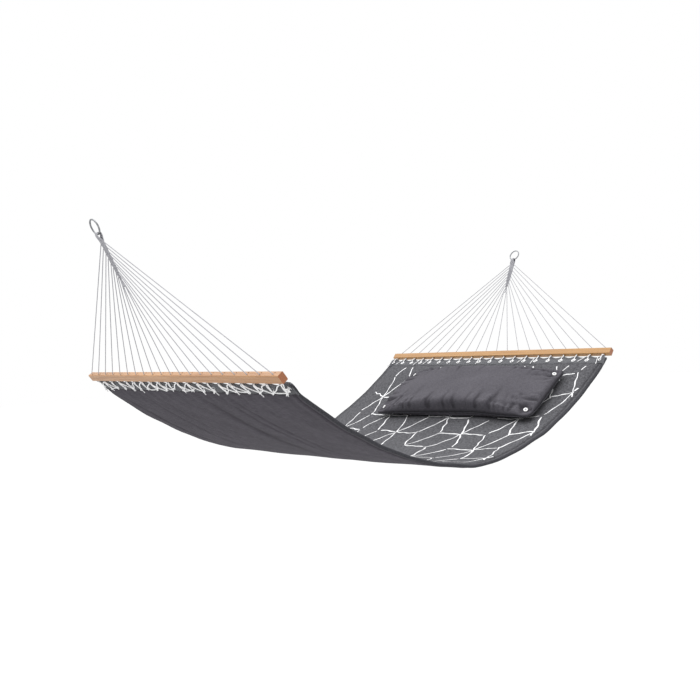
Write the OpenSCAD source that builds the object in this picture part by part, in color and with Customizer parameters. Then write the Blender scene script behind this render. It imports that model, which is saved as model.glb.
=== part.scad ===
// Quilted double hammock with two wooden spreader bars, hung by one steel ring at each end.
// The origin is the centre of the foot ring. X runs to the head ring, Y across the bed, Z up.
// The two ends are mirror images, so each end piece is drawn in the foot end's frame.

/* [Hanging] */
// Distance between the centres of the two rings
ring_span = 2355; // [2250:5:2450]
// Slope of the rope fans below the horizontal, in degrees
pull_angle = 64.4; // [60:0.1:70]
// Distance from a ring's centre to its spreader bar's centre
harness_len = 589; // [560:1:640]

/* [Rings] */
// Inner diameter of a ring
ring_id = 48; // [44:1:56]
// Diameter of a ring's wire
ring_wire = 6; // [5:0.5:7]

/* [Spreader bars] */
// Length of a bar
bar_len = 1400; // [1300:10:1500]
// Width of a bar's section, along its holes
bar_w = 32; // [30:1:38]
// Thickness of a bar's section
bar_t = 24; // [22:1:28]
// Slope of a bar's holes below the horizontal, in degrees
bar_tilt = 52; // [50:1:54]
// Radius of a bar's long edges
bar_round = 3; // [2:0.5:5]
// Diameter of the rope holes
hole_d = 5; // [4.5:0.1:5.5]
// Distance between the two rows of holes
row_gap = 9; // [8.5:0.5:10]
// Distance from a bar's end to its first hole
hole_margin = 30; // [25:1:50]

/* [Ropes] */
// Diameter of the rope
rope_d = 3; // [2.5:0.1:3.2]
// Number of ropes at each end, an even number
rope_count = 20; // [20]
// Distance from the ring's wire to the first pair of ropes leaving the clew
clew_first = 35; // [30:1:45]
// Distance from the ring's wire to the clew's tip
clew_last = 200; // [180:1:230]
// Width of the woven clew below the ring
clew_w = 26; // [22:1:30]
// Thickness of the woven clew
clew_t = 7; // [6:0.5:8]

/* [Bed] */
// Width of the bed over its bindings
bed_w = 1390; // [1300:10:1390]
// Depth of the bed's belly below its hems
bed_sag = 362; // [330:1:380]
// Power of the curve that the bed hangs in
sag_power = 1.88; // [1.8:0.01:2]
// Thickness of the padding
padding_t = 14; // [12:1:16]
// Thickness of the printed cover and of the plain back
cover_t = 2; // [1.5:0.5:2.5]
// Length of the hem band at each end
hem_len = 50; // [46:1:54]
// Thickness of the hem band
hem_t = 6; // [5:0.5:6]
// Free gap between a bar and its hem
hem_gap = 12; // [11:1:14]
// Width of the binding along each side
binding_w = 12; // [10:1:14]

/* [Pillow] */
// Length of the pillow, across the bed
pillow_len = 920; // [860:10:960]
// Width of the pillow, along the bed
pillow_w = 350; // [330:10:370]
// Thickness of the pillow's crown
pillow_t = 110; // [90:5:130]
// Place of the pillow's centre along the bed, from 0 at the belly to 1 at the head hem
pillow_place = 0.68; // [0.64:0.01:0.7]
// Sideways offset of the pillow's centre
pillow_y = -95; // [-120:5:0]

/* [Hidden] */
FOOT = 0;
HEAD = 1;

$fn = 32;

rope_r = rope_d / 2;
joint_r = rope_r + 0.1;        // balls that join two stretches of rope
bend_lift = 3;                 // a rope bends this far above its hole
knot_r = 4;
knot_drop = knot_r + 0.4;      // from a bar's lower face to a knot's centre
rope_clear = 0.3;
strand_in_bar = 20;            // length of the lacing's end inside its hole

ring_r = (ring_id + ring_wire) / 2;
loop_clear = 3.5;              // room for the rope loops to slide round the ring
loop_t = 3.5;
loop_wrap = 14;                // half angle of ring that the rope loops cover
clew_tip_w = 6;
clew_start = 2;                // depth that the clew reaches into the rope loops' wall

pull_dir = [cos(pull_angle), 0, -sin(pull_angle)];
bar_dir = [cos(bar_tilt), 0, -sin(bar_tilt)];
bar_normal = [sin(bar_tilt), 0, cos(bar_tilt)];
bar_centre = harness_len * pull_dir;
hole_pitch = (bar_len - 2 * hole_margin) / (rope_count - 1);
outer_row = -1;                // the row away from the bed's upper side, which carries the ropes
inner_row = 1;

hem_edge = bar_centre + (bar_w / 2 + hem_gap) * bar_dir;
bed_half = ring_span / 2 - hem_edge.x;
bed_steps = 48;                // stretches of the bed's curve
hem_steps = 4;
end_slope = bed_slope(1);
hem_u = 1 - hem_len * cos(end_slope) / bed_half;
eyelet_inset = 28;             // from the hem's edge to an eyelet's centre
eyelet_u = 1 - eyelet_inset * cos(end_slope) / bed_half;
eyelet_r = 10;
eyelet_hole_r = 4.5;
eyelet_sleeve_r = 5.5;
eyelet_flange_t = 1.5;
fit_gap = 0.1;

skin_top = padding_t / 2 + cover_t;
inner_w = bed_w - 2 * binding_w;
binding_lip = 1;               // how far a binding stands above the covers

tail_len = 36;
tail_splay = 22;
tail_lift = hem_t / 2 + rope_d + 1;

tab_r = 22;                    // the pillow's flat corners
tab_t = 4;
tab_base = 10;                 // height of the tabs above the bed's tangent plane at the pillow's centre
pillow_base = 1.5;
pillow_skin = 2;
edge_ball_r = 10;
corner_cut = 56;
crown_inset = 30;
crown_half = 120;
pillow_slope = bed_slope(pillow_place);
snap_du = (pillow_w / 2 - tab_r) * cos(pillow_slope) / bed_half;
snap_y = pillow_len / 2 - tab_r;
cap_r = 9;
cap_t = 3;
post_r = 3;
stud_r = 6;
stud_t = 1.2;
stud_lift = 0.6;
nub_r = 2.2;
nub_depth = 2.5;               // how far a nub reaches into its cap

function rope_name(end, pair) = str(end == FOOT ? "foot" : "head", "_rope_", pair < 10 ? "0" : "", pair);

// The bed's mid-surface, for u from -1 at the foot hem to 1 at the head hem
function bed_x(u) = ring_span / 2 + bed_half * u;
function bed_z(u) = hem_edge.z - bed_sag * (1 - pow(abs(u), sag_power));
function bed_slope(u) = atan(bed_sag * sag_power * pow(abs(u), sag_power - 1) * sign(u) / bed_half);
function bed_normal(u) = [-sin(bed_slope(u)), 0, cos(bed_slope(u))];
function bed_tangent(u) = [cos(bed_slope(u)), 0, sin(bed_slope(u))];
function bed_point(u, lift) = [bed_x(u), 0, bed_z(u)] + lift * bed_normal(u);

// Places across the bed: rope lines are counted from 0 on the -Y side
function line_y(line) = (line - (rope_count - 1) / 2) * hole_pitch;
function line_rank(line) = min(line, rope_count - 1 - line);
function line_side(line) = line < rope_count / 2 ? -1 : 1;
function across(y) = [0, y, 0];

// The mouth of a hole in the bar: side is -1 at the ring's side and 1 at the bed's
function hole_mouth(line, row, side) =
    bar_centre + across(line_y(line)) + row * row_gap / 2 * bar_normal + side * bar_w / 2 * bar_dir;
function knot_centre(line) = hole_mouth(line, outer_row, 1) + knot_drop * bar_dir;

// Where a rope leaves the clew, and half the clew's width there
function leave_s(rank) = ring_r + clew_first + rank * (clew_last - clew_first) / (rope_count / 2 - 1);
function clew_half(s) =
    let (t = max(0, s - ring_r - clew_first) / (clew_last - clew_first))
    clew_w / 2 * (1 - t) + clew_tip_w / 2 * t;

// A snap's place in the pillow's frame: along the bed, and the bed's height there
function snap_offset(along) =
    bed_point(pillow_place + along * snap_du, skin_top) - bed_point(pillow_place, skin_top);
function snap_x(along) = snap_offset(along) * bed_tangent(pillow_place);
function snap_rise(along) = snap_offset(along) * bed_normal(pillow_place);

module at_end(end) {
    if (end == FOOT) children();
    if (end == HEAD) translate([ring_span, 0, 0]) mirror([1, 0, 0]) children();
}

module in_pull_plane() {
    rotate([0, pull_angle, 0]) children();
}

module on_bed(u, lift) {
    translate(bed_point(u, lift)) rotate([0, -bed_slope(u), 0]) children();
}

module on_pillow() {
    on_bed(pillow_place, skin_top) translate([0, pillow_y, 0]) children();
}

module strand(from, to, r) {
    v = to - from;
    translate(from)
        rotate([0, acos(v.z / norm(v)), atan2(v.y, v.x)])
            cylinder(h = norm(v), r = r);
}

module ball(at, r) {
    translate(at) sphere(r = r);
}

// A slab of the bed between two heights above its mid-surface and between two places along it
module bed_slab(low, high, from_u, to_u, width, steps = bed_steps) {
    upper = [for (i = [0:steps]) bed_point(from_u + (to_u - from_u) * i / steps, high)];
    lower = [for (i = [steps:-1:0]) bed_point(from_u + (to_u - from_u) * i / steps, low)];
    rotate([90, 0, 0])
        linear_extrude(height = width, center = true)
            polygon([for (p = concat(upper, lower)) [p.x, p.z]]);
}

module ring(end) {
    color("silver")
        at_end(end) in_pull_plane()
            rotate_extrude() translate([ring_r, 0]) circle(d = ring_wire);
}

// Woven mat of rope below a ring, with the rope loops that hold the ring
module clew(end) {
    loop_inner = ring_wire / 2 + loop_clear;
    top = ring_r + loop_inner + clew_start;
    shoulder = ring_r + clew_first;
    tip = ring_r + clew_last;
    color("whitesmoke")
        at_end(end) in_pull_plane() {
            rotate([0, 0, -loop_wrap])
                rotate_extrude(angle = 2 * loop_wrap)
                    translate([ring_r, 0])
                        difference() {
                            circle(r = loop_inner + loop_t);
                            circle(r = loop_inner);
                        }
            translate([0, 0, -clew_t / 2])
                linear_extrude(height = clew_t)
                    polygon([
                        [top, -clew_tip_w], [shoulder, -clew_w / 2], [tip, -clew_tip_w / 2],
                        [tip, clew_tip_w / 2], [shoulder, clew_w / 2], [top, clew_tip_w]
                    ]);
        }
}

// One rope line, from the clew's edge to its knot under the bar
module rope_line(line) {
    s = leave_s(line_rank(line));
    start_y = line_side(line) * (clew_half(s) + rope_d);
    start = s * pull_dir + across(start_y);
    bend = hole_mouth(line, outer_row, -1) - bend_lift * bar_dir;
    strand(start, bend, rope_r);
    ball(bend, joint_r);
    strand(bend, knot_centre(line), rope_r);
    ball(knot_centre(line), knot_r);
}

// Two neighbouring rope lines are the legs of one rope, doubled through the ring
module rope(end, pair) {
    color("gainsboro")
        at_end(end) {
            rope_line(2 * pair - 2);
            rope_line(2 * pair - 1);
        }
}

module bar_section() {
    square([bar_w - 2 * bar_round, bar_t], center = true);
    square([bar_w, bar_t - 2 * bar_round], center = true);
    for (sx = [-1, 1], sy = [-1, 1])
        translate([sx * (bar_w / 2 - bar_round), sy * (bar_t / 2 - bar_round)])
            circle(r = bar_round);
}

module bar(end) {
    color("peru")
        at_end(end)
            translate(bar_centre) rotate([0, bar_tilt, 0])
                difference() {
                    rotate([90, 0, 0])
                        linear_extrude(height = bar_len, center = true) bar_section();
                    for (line = [0:rope_count - 1], row = [outer_row, inner_row])
                        translate([0, line_y(line), row * row_gap / 2])
                            rotate([0, 90, 0])
                                cylinder(h = bar_w + 2, d = hole_d, center = true);
                }
}

// One rope end laced from its knot through the hem's eyelet and back into the bar
module lacing_loop(line) {
    eyelet = bed_point(-eyelet_u, 0) + across(line_y(line));
    reach = (hem_t / 2 + eyelet_flange_t + rope_d) * bed_normal(-eyelet_u);
    under = eyelet - reach;
    over = eyelet + reach;
    below_edge = bed_point(-1, -(hem_t / 2 + rope_r + rope_clear)) + across(line_y(line));
    away = (below_edge - knot_centre(line)) / norm(below_edge - knot_centre(line));
    start = knot_centre(line) + (knot_r + rope_clear) * away;
    mouth = hole_mouth(line, inner_row, 1) + rope_d * bar_dir;
    strand(start, below_edge, rope_r);
    ball(below_edge, joint_r);
    strand(below_edge, under, rope_r);
    ball(under, joint_r);
    strand(under, over, rope_r);
    ball(over, joint_r);
    strand(over, mouth, rope_r);
    ball(mouth, joint_r);
    strand(mouth, mouth - strand_in_bar * bar_dir, rope_r);
}

module lacing(end) {
    color("white") at_end(end) for (line = [0:rope_count - 1]) lacing_loop(line);
}

// Loose rope ends beside every second knot, on the hem's two faces by turns
module tails(end) {
    color("white")
        at_end(end)
            for (line = [1:2:rope_count - 2]) {
                face = line % 4 == 1 ? -1 : 1;
                root = bed_point(-1, face * tail_lift) + across(line_y(line) + tail_splay);
                tip = root + tail_len * bed_tangent(-1) + across(face * tail_splay / 2);
                strand(root, tip, rope_r);
                ball(root, joint_r + rope_clear);
            }
}

module eyelets(end) {
    sleeve_len = hem_t + 2 * (eyelet_flange_t + fit_gap);
    color("white")
        at_end(end)
            for (line = [0:rope_count - 1])
                translate([0, line_y(line), 0]) on_bed(-eyelet_u, 0)
                    difference() {
                        union() {
                            cylinder(h = sleeve_len, r = eyelet_sleeve_r, center = true);
                            for (side = [-1, 1])
                                translate([0, 0, side * (sleeve_len - eyelet_flange_t) / 2])
                                    cylinder(h = eyelet_flange_t, r = eyelet_r, center = true);
                        }
                        cylinder(h = sleeve_len + 2, r = eyelet_hole_r, center = true);
                    }
}

module hem_band(end) {
    color("dimgray")
        at_end(end)
            difference() {
                bed_slab(-hem_t / 2, hem_t / 2, -1, -hem_u, inner_w, hem_steps);
                for (line = [0:rope_count - 1])
                    translate([0, line_y(line), 0]) on_bed(-eyelet_u, 0)
                        cylinder(h = 4 * hem_t, r = eyelet_sleeve_r + fit_gap, center = true);
            }
}

module bed_cover() {
    color("slategray") bed_slab(padding_t / 2, skin_top, -hem_u, hem_u, inner_w);
}

module bed_padding() {
    color("white") bed_slab(-padding_t / 2, padding_t / 2, -hem_u, hem_u, inner_w);
}

module bed_back() {
    color("darkslategray") bed_slab(-skin_top, -padding_t / 2, -hem_u, hem_u, inner_w);
}

module binding(side) {
    lip = skin_top + binding_lip;
    color("black")
        translate([0, side * (bed_w - binding_w) / 2, 0])
            bed_slab(-lip, lip, -1, 1, binding_w);
}

// The padded middle of the pillow, with its corners cut back for the flat tabs
module pillow_form(inset) {
    edge_r = edge_ball_r - inset;
    near_x = pillow_w / 2 - edge_ball_r;
    near_y = pillow_len / 2 - edge_ball_r;
    hull() {
        for (sx = [-1, 1], sy = [-1, 1]) {
            translate([sx * near_x, sy * (near_y - corner_cut), tab_base + edge_ball_r]) sphere(r = edge_r);
            translate([sx * (near_x - corner_cut), sy * near_y, tab_base + edge_ball_r]) sphere(r = edge_r);
        }
        for (sy = [-1, 1])
            translate([0, sy * (pillow_len / 2 - crown_half - crown_inset), pillow_base + pillow_t / 2])
                scale([pillow_w / 2 - crown_inset - inset, crown_half - inset, pillow_t / 2 - inset])
                    sphere(r = 1);
    }
}

module pillow_cover() {
    color("dimgray")
        on_pillow()
            difference() {
                union() {
                    pillow_form(0);
                    for (along = [-1, 1], side = [-1, 1])
                        translate([snap_x(along), side * snap_y, tab_base])
                            cylinder(h = tab_t, r = tab_r);
                }
                pillow_form(pillow_skin);
                for (along = [-1, 1], side = [-1, 1])
                    translate([snap_x(along), side * snap_y, tab_base - 1])
                        cylinder(h = tab_t + 2, r = post_r + fit_gap);
            }
}

module pillow_filling() {
    color("white") on_pillow() pillow_form(pillow_skin + fit_gap);
}

// Snap caps, riveted through the pillow's four tabs
module snap_caps() {
    color("white")
        on_pillow()
            for (along = [-1, 1], side = [-1, 1])
                translate([snap_x(along), side * snap_y, tab_base])
                    difference() {
                        union() {
                            cylinder(h = tab_t, r = post_r);
                            translate([0, 0, tab_t + fit_gap]) cylinder(h = cap_t, r = cap_r);
                            translate([0, 0, tab_t - fit_gap]) cylinder(h = 3 * fit_gap, r = post_r);
                        }
                        translate([0, 0, -1]) cylinder(h = nub_depth + 1, r = nub_r + 2 * fit_gap);
                    }
}

// Snap studs on the bed, with nubs that the caps press over
module snap_studs() {
    color("silver")
        on_pillow()
            for (along = [-1, 1], side = [-1, 1])
                translate([snap_x(along), side * snap_y, snap_rise(along) + stud_lift]) {
                    cylinder(h = stud_t, r = stud_r);
                    cylinder(h = tab_base - snap_rise(along) - stud_lift + nub_depth - rope_clear, r = nub_r);
                }
}

ring(FOOT);  // foot_ring
ring(HEAD);  // head_ring
clew(FOOT);  // foot_clew
clew(HEAD);  // head_clew
bar(FOOT);  // foot_bar
bar(HEAD);  // head_bar
lacing(FOOT);  // foot_lacing
lacing(HEAD);  // head_lacing
tails(FOOT);  // foot_tails
tails(HEAD);  // head_tails
eyelets(FOOT);  // foot_eyelets
eyelets(HEAD);  // head_eyelets
hem_band(FOOT);  // foot_hem_band
hem_band(HEAD);  // head_hem_band
bed_cover();
bed_padding();
bed_back();
binding(1);  // left_binding
binding(-1);  // right_binding
snap_studs();
pillow_cover();
pillow_filling();
snap_caps();
for (end = [FOOT, HEAD], pair = [1:rope_count / 2])
    rope(end, pair);
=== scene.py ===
import bpy
import math
import random
import numpy as np
from mathutils import Matrix, Vector


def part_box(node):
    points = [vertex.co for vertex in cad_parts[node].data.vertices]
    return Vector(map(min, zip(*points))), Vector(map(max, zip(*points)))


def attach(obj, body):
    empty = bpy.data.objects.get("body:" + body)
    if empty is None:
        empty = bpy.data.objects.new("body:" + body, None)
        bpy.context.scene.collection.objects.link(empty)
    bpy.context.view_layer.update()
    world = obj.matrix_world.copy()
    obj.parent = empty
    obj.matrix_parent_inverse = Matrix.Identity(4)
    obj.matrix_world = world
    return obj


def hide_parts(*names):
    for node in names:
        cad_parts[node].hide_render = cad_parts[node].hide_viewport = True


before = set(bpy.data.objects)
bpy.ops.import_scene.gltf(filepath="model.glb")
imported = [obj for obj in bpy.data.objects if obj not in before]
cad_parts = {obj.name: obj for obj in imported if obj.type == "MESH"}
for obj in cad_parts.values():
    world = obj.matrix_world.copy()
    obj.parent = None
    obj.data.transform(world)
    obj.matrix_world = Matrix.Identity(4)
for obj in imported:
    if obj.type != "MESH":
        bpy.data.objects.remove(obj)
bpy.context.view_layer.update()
SEED = 7
TAU = 2 * math.pi
END_NAMES = ("foot", "head")

# ---------------------------------------------------------------- sizes, in metres
# Places come from the CAD nodes' boxes; section sizes repeat the CAD part's own.


def middle(node):
    low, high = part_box(node)
    return np.array((low + high) / 2)


def size_of(node):
    low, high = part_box(node)
    return np.array(high - low)


# Rings and bars: the ropes pull along PULL, and BAR_DIR is the bed's direction where it meets its bar.
FOOT_RING = middle("foot_ring")
HEAD_RING = middle("head_ring")
SPAN = HEAD_RING[0] - FOOT_RING[0]
WIRE_R = 0.003
RING_R = size_of("foot_ring")[1] / 2 - WIRE_R
BAR = middle("foot_bar")
BAR_LEN = size_of("foot_bar")[1]
BAR_W = 0.032
BAR_TILT = math.radians(52)
HARNESS_LEN = float(np.linalg.norm(BAR))
PULL = BAR / HARNESS_LEN
PULL_NORMAL = np.array([-PULL[2], 0, PULL[0]])
BAR_DIR = np.array([math.cos(BAR_TILT), 0, -math.sin(BAR_TILT)])
BAR_NORMAL = np.array([math.sin(BAR_TILT), 0, math.cos(BAR_TILT)])
ACROSS = np.array([0.0, 1.0, 0.0])

# Ropes: LINES cross each bar, and they leave the clew in RANKS pairs, one from each side.
LINES = 20
RANKS = LINES // 2
HOLE_MARGIN = 0.030
HOLE_PITCH = (BAR_LEN - 2 * HOLE_MARGIN) / (LINES - 1)
ROW_GAP = 0.009
OUTER, INNER = -1, 1
ROPE_R = 0.0015
ROPE_LAY = 0.013
BEND_LIFT = 0.003
KNOT_DROP = 0.0044
LEAVE_FIRST, LEAVE_LAST = 0.035, 0.200

# Bed: it hangs from one hem to the other, lowest halfway, and its far side hangs FAR_SAG lower.
HEM_GAP = 0.012
HEM_EDGE = BAR + (BAR_W / 2 + HEM_GAP) * BAR_DIR
BED_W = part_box("left_binding")[1].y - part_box("right_binding")[0].y
BED_MID = SPAN / 2
BED_HALF = SPAN / 2 - HEM_EDGE[0]
BED_SAG = 0.362
SAG_POWER = 1.88
SKIN = 0.009
HEM_HALF_T = 0.003
HEM_LEN = 0.050
HEM_LAP = 0.004
EYELET_INSET = 0.028
FAR_SAG = 0.037
BINDING_W = 0.012
SEAM_INSET = 0.013
COVER_TUCK = 0.003
CREASE_DEPTH = 0.0052
HEM_OVER = 0.0025
BED_CELL = 0.007

# Pillow: its place is a share of the way from the belly to the head hem.
PILLOW_PLACE = 0.68
PILLOW_Y = -0.095
PILLOW_W, PILLOW_T = 0.35, 0.11
SNAP_X, SNAP_Y = 0.153, 0.438


# ---------------------------------------------------------------- mesh helpers

def tie(piece, body, node=None):
    """Hides the CAD node that a piece stands for, if any, and hangs the piece on the body it rides on."""
    if node:
        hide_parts(node)
    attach(piece, body)
    return piece


def as_rows(values):
    return np.asarray(values, float).reshape(-1, 3)


class Shape:
    """Points and faces of many small parts, gathered into one mesh."""

    def __init__(self):
        self.points, self.faces, self.tints, self.count = [], [], [], 0

    # The last argument is a per-point share of painted shade: 0 for none, 1 for the full shade colour.
    def add(self, points, faces, painted_shade=0.0):
        points = as_rows(points)
        self.points.append(points)
        self.faces.extend([tuple(i + self.count for i in face) for face in faces])
        self.tints.append(np.full(len(points), painted_shade) if np.isscalar(painted_shade) else np.asarray(painted_shade))
        self.count += len(points)

    def build(self, name, material, head=False):
        points = np.vstack(self.points)
        faces = self.faces
        if head:
            points = points * [-1, 1, 1] + [SPAN, 0, 0]
            faces = [face[::-1] for face in faces]
        mesh = bpy.data.meshes.new(name)
        mesh.from_pydata(points.tolist(), [], faces)
        mesh.polygons.foreach_set("use_smooth", [True] * len(mesh.polygons))
        # The per-point painted shade share, read by the cloth materials.
        painted_shade = mesh.attributes.new("painted_shade", "FLOAT", "POINT")
        painted_shade.data.foreach_set("value", np.concatenate(self.tints).astype(np.float32))
        mesh.materials.append(material)
        mesh.update()
        piece = bpy.data.objects.new(name, mesh)
        bpy.context.scene.collection.objects.link(piece)
        return piece


def curve_through(points, step):
    """A smooth line through the points, with its own points about step apart."""
    p = as_rows(points)
    p = np.vstack([2 * p[0] - p[1], p, 2 * p[-1] - p[-2]])
    out = []
    for a, b, c, d in zip(p[:-3], p[1:-2], p[2:-1], p[3:]):
        count = max(2, int(np.linalg.norm(c - b) / step) + 1)
        t = np.linspace(0, 1, count, endpoint=False)[:, None]
        out.append(0.5 * (2 * b + (c - a) * t + (2 * a - 5 * b + 4 * c - d) * t ** 2
                          + (3 * b - a - 3 * c + d) * t ** 3))
    out.append(p[-2][None])
    return evenly(np.vstack(out), step)


def evenly(line, step):
    along = np.concatenate([[0], np.cumsum(np.linalg.norm(np.diff(line, axis=0), axis=1))])
    at = np.linspace(0, along[-1], max(3, int(along[-1] / step) + 2))
    return np.stack([np.interp(at, along, line[:, k]) for k in range(3)], axis=1)


def tube(shape, line, radius, sides=9, lay=ROPE_LAY, lobes=0.16, taper=None):
    """A twisted three-strand rope along the line; lobes=0 makes it plain."""
    line = as_rows(line)
    tangents = np.gradient(line, axis=0)
    tangents /= np.maximum(np.linalg.norm(tangents, axis=1, keepdims=True), 1e-9)
    side = Vector(tangents[0]).orthogonal().normalized()
    sides_list = [side]
    before = Vector(tangents[0])
    for t in tangents[1:]:
        after = Vector(t)
        side = before.rotation_difference(after) @ side
        side = (side - after * side.dot(after)).normalized()
        sides_list.append(side)
        before = after
    u = np.array(sides_list)
    v = np.cross(tangents, u)
    along = np.concatenate([[0], np.cumsum(np.linalg.norm(np.diff(line, axis=0), axis=1))])
    theta = circle(sides)
    r = radius * (1 + lobes * np.cos(3 * theta[None, :] - 3 * TAU * along[:, None] / lay))
    if taper is not None:
        r = r * np.asarray(taper)[:, None]
    ring = line[:, None, :] + r[:, :, None] * (
        np.cos(theta)[None, :, None] * u[:, None, :] + np.sin(theta)[None, :, None] * v[:, None, :])
    shape.add(ring.reshape(-1, 3), tube_faces(len(line), sides))


def grid_faces(rows, columns, flip=False, wrap=False):
    faces = []
    last = columns if wrap else columns - 1
    for i in range(rows - 1):
        for k in range(last):
            n = (k + 1) % columns
            face = (i * columns + k, i * columns + n, (i + 1) * columns + n, (i + 1) * columns + k)
            faces.append(face[::-1] if flip else face)
    return faces


def hump(value, width):
    """1 where the value is 0, falling smoothly to nothing a few widths away."""
    return np.exp(-(value / width) ** 2)


def circle(sides):
    return np.linspace(0, TAU, sides, endpoint=False)


def tube_faces(rows, sides):
    """The wall and the two closed ends of a tube, its rows of points one after another."""
    ends = [tuple(range(sides - 1, -1, -1)), tuple((rows - 1) * sides + k for k in range(sides))]
    return grid_faces(rows, sides, wrap=True) + ends


def set_uv(piece, uv):
    """Cloth coordinates in metres, so that a weave keeps its real size."""
    layer = piece.data.uv_layers.new(name="cloth")
    index = np.zeros(len(piece.data.loops), np.int32)
    piece.data.loops.foreach_get("vertex_index", index)
    layer.data.foreach_set("uv", np.asarray(uv, np.float32)[index].ravel())


# ---------------------------------------------------------------- materials

class Look:
    """A Principled material and short calls for its nodes."""

    def __init__(self, name, color, roughness, specular=0.5, metallic=0.0, sheen=0.0, coat=0.0):
        self.material = bpy.data.materials.new(name)
        self.material.use_nodes = True
        self.nodes = self.material.node_tree.nodes
        self.links = self.material.node_tree.links
        self.shader = self.nodes["Principled BSDF"]
        self.shader.inputs["Base Color"].default_value = (*color, 1)
        self.shader.inputs["Roughness"].default_value = roughness
        self.shader.inputs["Specular IOR Level"].default_value = specular
        self.shader.inputs["Metallic"].default_value = metallic
        self.shader.inputs["Sheen Weight"].default_value = sheen
        self.shader.inputs["Sheen Roughness"].default_value = 0.5
        self.shader.inputs["Coat Weight"].default_value = coat
        self.shader.inputs["Coat Roughness"].default_value = 0.15
        self.heights = []

    def put(self, socket, value):
        if isinstance(value, bpy.types.NodeSocket):
            self.links.new(value, socket)
        else:
            socket.default_value = value

    def cloth(self):
        node = self.nodes.new("ShaderNodeUVMap")
        node.uv_map = "cloth"
        return node.outputs["UV"]

    def place(self):
        return self.nodes.new("ShaderNodeTexCoord").outputs["Object"]

    def scaled(self, vector, scale):
        node = self.nodes.new("ShaderNodeMapping")
        self.put(node.inputs["Vector"], vector)
        node.inputs["Scale"].default_value = scale
        return node.outputs["Vector"]

    def noise(self, vector, scale, detail=3.0, rough=0.55, distortion=0.0):
        node = self.nodes.new("ShaderNodeTexNoise")
        self.put(node.inputs["Vector"], vector)
        node.inputs["Scale"].default_value = scale
        node.inputs["Detail"].default_value = detail
        node.inputs["Roughness"].default_value = rough
        node.inputs["Distortion"].default_value = distortion
        return node.outputs["Fac"]

    def grain(self, vector, scale, detail, rough=0.55, distortion=0.0):
        """Noise stretched along the axes."""
        return self.noise(self.scaled(vector, scale), 1.0, detail, rough, distortion)

    def math(self, operation, a, b=0.0):
        node = self.nodes.new("ShaderNodeMath")
        node.operation = operation
        self.put(node.inputs[0], a)
        self.put(node.inputs[1], b)
        return node.outputs[0]

    def span(self, value, low, high, to_low=0.0, to_high=1.0):
        node = self.nodes.new("ShaderNodeMapRange")
        self.put(node.inputs["Value"], value)
        node.inputs["From Min"].default_value = low
        node.inputs["From Max"].default_value = high
        node.inputs["To Min"].default_value = to_low
        node.inputs["To Max"].default_value = to_high
        return node.outputs["Result"]

    def mix(self, factor, a, b, blend="MIX"):
        node = self.nodes.new("ShaderNodeMix")
        node.data_type = "RGBA"
        node.blend_type = blend
        self.put(node.inputs["Factor"], factor)
        for socket, value in ((node.inputs[6], a), (node.inputs[7], b)):
            self.put(socket, value if isinstance(value, bpy.types.NodeSocket) else (*value, 1))
        return node.outputs[2]

    def split(self, vector):
        node = self.nodes.new("ShaderNodeSeparateXYZ")
        self.put(node.inputs[0], vector)
        return node.outputs

    def attribute(self, name):
        node = self.nodes.new("ShaderNodeAttribute")
        node.attribute_name = name
        return node.outputs["Fac"]

    def weave(self, vector, period):
        """Over-and-under threads of a plain weave, from 0 to 1."""
        x, y, _ = self.split(vector)
        turns = TAU / period
        warp = self.math("SINE", self.math("MULTIPLY", x, turns))
        weft = self.math("SINE", self.math("MULTIPLY", y, turns))
        return self.span(self.math("MULTIPLY", warp, weft), -1, 1)

    def grey(self, value):
        node = self.nodes.new("ShaderNodeCombineColor")
        for k in range(3):
            self.put(node.inputs[k], value)
        return node.outputs[0]

    def bump(self, height, distance, strength=1.0):
        node = self.nodes.new("ShaderNodeBump")
        node.inputs["Strength"].default_value = strength
        node.inputs["Distance"].default_value = distance
        self.put(node.inputs["Height"], height)
        if self.heights:
            self.put(node.inputs["Normal"], self.heights[-1])
        self.heights.append(node.outputs["Normal"])

    def done(self, color=None, roughness=None):
        if color is not None:
            self.put(self.shader.inputs["Base Color"], color)
        if roughness is not None:
            self.put(self.shader.inputs["Roughness"], roughness)
        if self.heights:
            self.put(self.shader.inputs["Normal"], self.heights[-1])
        return self.material


def cloth_look(name, dark, light, seam, thread, slub, sheen, bump_mm):
    """Woven cloth: uneven threads both ways, a plain weave, faint fading and painted shade at its seams and
    creases.
    """
    look = Look(name, light, 0.95, specular=0.08, sheen=sheen)
    uv = look.cloth()
    along = look.grain(uv, (1 / slub[1], 1 / slub[0], 1), 2.0)
    across = look.grain(uv, (1 / slub[0], 1 / slub[1], 1), 2.0)
    slubs = look.span(look.math("ADD", along, across), 0.72, 1.28)
    weave = look.weave(uv, thread)
    fading = look.span(look.noise(uv, 5.0, 2.0), 0.3, 0.7, 0.92, 1.06)
    tone = look.mix(slubs, dark, light)
    tone = look.mix(look.span(weave, 0, 1, 0.0, 0.28), tone, dark)
    tone = look.mix(1.0, tone, look.grey(fading), "MULTIPLY")
    # Painted shade: darkens toward the seam colour where the mesh marks grooves, hem seams, creases and fold
    # valleys.
    tone = look.mix(look.attribute("painted_shade"), tone, seam)
    look.bump(weave, bump_mm * 0.001, 0.6)
    look.bump(slubs, bump_mm * 0.0012, 0.5)
    return look.done(tone, look.span(slubs, 0, 1, 1.0, 0.86))


def printed_cloth():
    # The third colour is the painted shade colour for seams and creases.
    return cloth_look("printed_cloth", (0.034, 0.034, 0.038), (0.156, 0.156, 0.168), (0.020, 0.019, 0.023),
                      thread=0.0022, slub=(0.0034, 0.017), sheen=0.02, bump_mm=0.35)


def back_cloth():
    # The third colour is the painted shade colour for the seams and the creases below the foot.
    return cloth_look("plain_back_cloth", (0.047, 0.043, 0.052), (0.087, 0.080, 0.096),
                      (0.018, 0.016, 0.020), thread=0.0018, slub=(0.0030, 0.040), sheen=0.03, bump_mm=0.25)


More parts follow.
